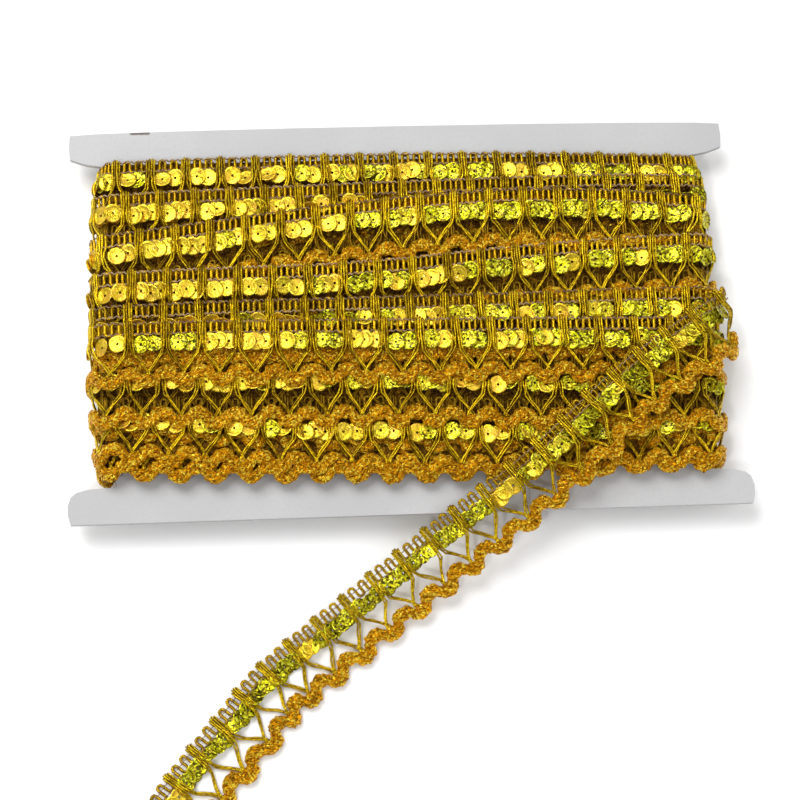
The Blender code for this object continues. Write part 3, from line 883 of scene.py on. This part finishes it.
def lengths_of(line):
    return np.concatenate([[0.0], np.cumsum(np.linalg.norm(np.diff(line, axis=0), axis=1))])


def rounded_profile(points):
    """The drape's profile in steps of 1 mm of Y, its corners rounded by averaging."""
    y = np.arange(points[0][0], points[-1][0], -1.0)
    corners = np.array(points)[::-1]
    z = np.interp(y, corners[:, 0], corners[:, 1])
    width = 9
    padded = np.pad(z, width // 2, mode="edge")
    z = np.convolve(padded, np.ones(width) / width, mode="valid")
    return np.stack([y, z], axis=-1)


class LooseEnd:
    """The loose end as a mapping from (repeats, across, height) to points."""

    def __init__(self):
        self.profile = rounded_profile(DRAPE)
        self.fall = lengths_of(self.profile)
        plan = smooth_line(LOOSE_ROUTE, 1.0)
        t = np.interp(-plan[:, 1], -self.profile[:, 0], self.fall)
        self.route = np.stack([plan[:, 0], t], axis=-1)
        self.length = lengths_of(self.route)
        near = np.linalg.norm(plan - np.array(LOOSE_BUNDLE_AT), axis=1)
        self.bundle_at = self.length[int(np.argmin(near))]
        start = np.interp(-LOOSE_START_ROUND, -self.route[:, 0], self.length)
        self.first = (start - self.bundle_at) / LOOSE_REPEAT
        self.last = LOOSE_REPEATS_BELOW

    def plan(self, u, across):
        along = self.bundle_at + u * LOOSE_REPEAT
        here, ahead = (
            np.stack([np.interp(along + d, self.length, self.route[:, k]) for k in (0, 1)], -1)
            for d in (-1.5, 1.5)
        )
        forward = (ahead - here) / np.linalg.norm(ahead - here, axis=-1, keepdims=True)
        middle = (here + ahead) / 2
        across = across * LOOSE_STRETCH_ACROSS
        return middle[..., 0] + forward[..., 1] * across, middle[..., 1] - forward[..., 0] * across

    def place(self, u, across, height):
        u, across, height = np.broadcast_arrays(u, across, height)
        p, t = self.plan(u, across)
        at = [np.interp(t, self.fall, self.profile[:, k]) for k in (0, 1)]
        step = [
            np.interp(t + 1, self.fall, self.profile[:, k])
            - np.interp(t - 1, self.fall, self.profile[:, k])
            for k in (0, 1)
        ]
        run = np.hypot(*step)
        dy, dz = step[0] / run, step[1] / run
        flat = np.stack([p, at[0] + height * dz, at[1] - height * dy], axis=-1)
        above = at[1] - CARD_MIDDLE_Z
        angle = (p - FRONT_HALF) * 2 / (LOOSE_END_REACH + above)
        bent = np.stack([
            FRONT_HALF + (LOOSE_END_REACH + height) * np.sin(angle),
            at[0],
            CARD_MIDDLE_Z + (above + height) * np.cos(angle),
        ], axis=-1)
        return np.where((p > FRONT_HALF)[..., None], bent, flat)


def loose_glitter(place, rng):
    return float(np.clip(0.85 + rng.normal(0, 0.22), 0, 1))


loose = LooseEnd()
rng = np.random.default_rng(71)
span = (loose.first, loose.last)
# The loose end's header and cords are given low tones, and its left cords lower still: painted shade.
loose_header = yarn_piece(
    "loose_header", [header_path(loose, *span, 0.48, 0.0, rng)], 6,
    header_finish, "loose_end",
)
loose_threads = yarn_piece(
    "loose_threads", thread_paths(loose, *span, (1.6, 3.9), 0.15, rng), 5,
    thread_finish, "loose_end",
)
loose_sequins = sequin_piece(
    "loose_sequins",
    sequin_points(loose, *span, 6.3, 1.0, loose_glitter, 24.0, rng),
    "loose_end", sequin_finish,
)
loose_braid = yarn_piece(
    "loose_braid", braid_paths(loose, *span, 22, rng), 7, braid_finish, "loose_end"
)
loose_cords = yarn_piece(
    "loose_cords", cord_paths(loose, *span, 0.0, 0.066, 0.5, 0.4, rng), 6,
    cord_finish, "loose_end",
)
LOOSE_LENGTH = (loose.last - loose.first) * LOOSE_REPEAT * MM
OPEN_WORK_SHARE = 0.45
TRIM_WIDTH * MM * LOOSE_LENGTH * OPEN_WORK_SHARE


# The setting: a plain white table top under a large soft light from the back left, with a weak
# soft light opposite and a small one in front that makes the foil glint.

def floor_look():
    material, shader, place = new_look("floor_look", roughness=0.9)
    cloud = place.node("ShaderNodeTexNoise", {"Vector": place, "Scale": 3.0})
    feed(shader, base_color=cloud.mix(colour(0.94, 0.94, 0.94), colour(0.96, 0.96, 0.96)))
    return material


floor_mesh = bpy.data.meshes.new("table_top")
reach = 2.5
corners = [(-reach, -reach, 0.0), (reach, -reach, 0.0), (reach, reach, 0.0), (-reach, reach, 0.0)]
floor_mesh.from_pydata(corners, [], [(0, 1, 2, 3)])
table_top = object_of("table_top", floor_mesh, floor_look())

world = bpy.data.worlds.new("studio")
bpy.context.scene.world = world
world.use_nodes = True
world.node_tree.nodes["Background"].inputs["Color"].default_value = colour(1.0, 1.0, 1.0)
world.node_tree.nodes["Background"].inputs["Strength"].default_value = 0.45
Lamp = namedtuple("Lamp", "name place size watts")
LAMPS = (
    Lamp("key", (-0.48, 0.60, 1.10), 0.85, 15.5),
    Lamp("fill", (0.8, -0.2, 1.1), 0.9, 4.2),
    Lamp("glint", (-0.35, -0.5, 1.0), 0.12, 2.2),
)
for lamp in LAMPS:
    data = bpy.data.lights.new(lamp.name, "AREA")
    data.size = lamp.size
    data.energy = lamp.watts
    light = bpy.data.objects.new(lamp.name, data)
    bpy.context.scene.collection.objects.link(light)
    light.location = lamp.place
    light.rotation_mode = "QUATERNION"
    light.rotation_quaternion = (-Vector(lamp.place)).to_track_quat("-Z", "Y")

AZIMUTH, ELEVATION, ROLL = (math.radians(turn) for turn in (-16.7423, 75.7063, 14.5715))
DISTANCE = 0.5944
AIM = Vector((-0.0032, -0.0255, 0.010))
back = Vector((
    math.sin(AZIMUTH) * math.cos(ELEVATION), -math.cos(AZIMUTH) * math.cos(ELEVATION),
    math.sin(ELEVATION),
))
level = Vector((math.cos(AZIMUTH), math.sin(AZIMUTH), 0.0))
upward = back.cross(level)
right = level * math.cos(ROLL) + upward * math.sin(ROLL)
up = upward * math.cos(ROLL) - level * math.sin(ROLL)
lens = bpy.data.cameras.new("camera")
lens.lens = 90.0
lens.sensor_width = 36.0
lens.clip_start = 0.01
camera = bpy.data.objects.new("camera", lens)
bpy.context.scene.collection.objects.link(camera)
camera.matrix_world = Matrix.Translation(AIM + back * DISTANCE) @ Matrix(
    (right, up, back)
).transposed().to_4x4()
bpy.context.scene.camera = camera
bpy.context.scene.view_settings.view_transform = "Standard"
